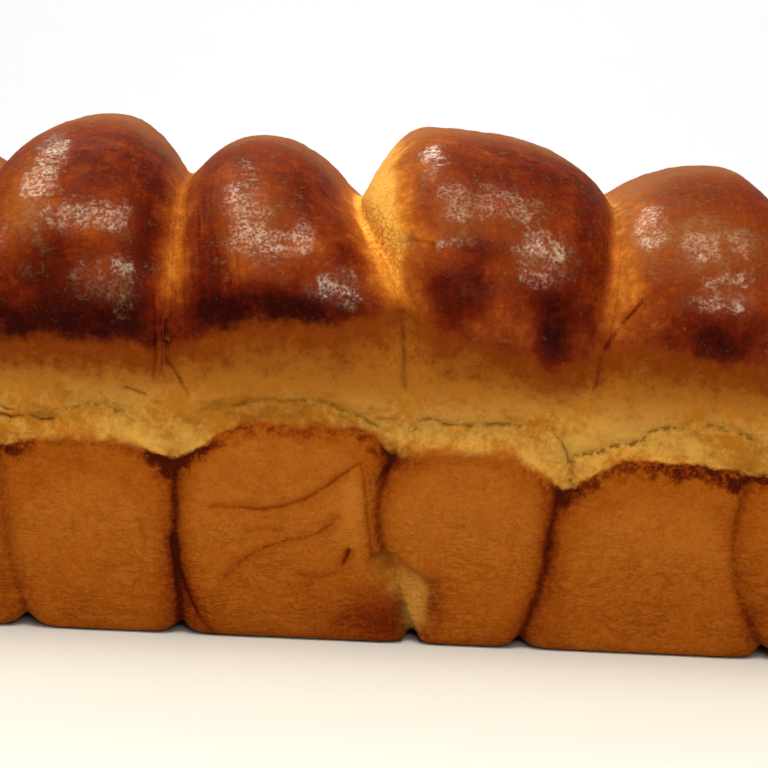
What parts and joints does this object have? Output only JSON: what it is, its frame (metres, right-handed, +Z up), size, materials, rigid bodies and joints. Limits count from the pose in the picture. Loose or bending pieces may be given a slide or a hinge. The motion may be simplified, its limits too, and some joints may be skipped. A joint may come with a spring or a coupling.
{
  "type": "pan-baked challah loaf",
  "caption": "Long pull-apart loaf: rolls of egg-washed dough side by side across a tin, flat pan sides, a torn pale band, domed glossy tops.",
  "frame": {"origin": "middle of the flat underside", "axes": "+X along the loaf, across its row of rolls; +Y towards the back pan side; +Z up"},
  "size_m": [0.3072, 0.1262, 0.1284],
  "materials": {
    "crust": "golden brown baked crust, glossy mahogany on the domes, matte tan on the pan sides"
  },
  "bodies": {
    "root": {"loaf": "crust"}
  },
  "joints": []
}
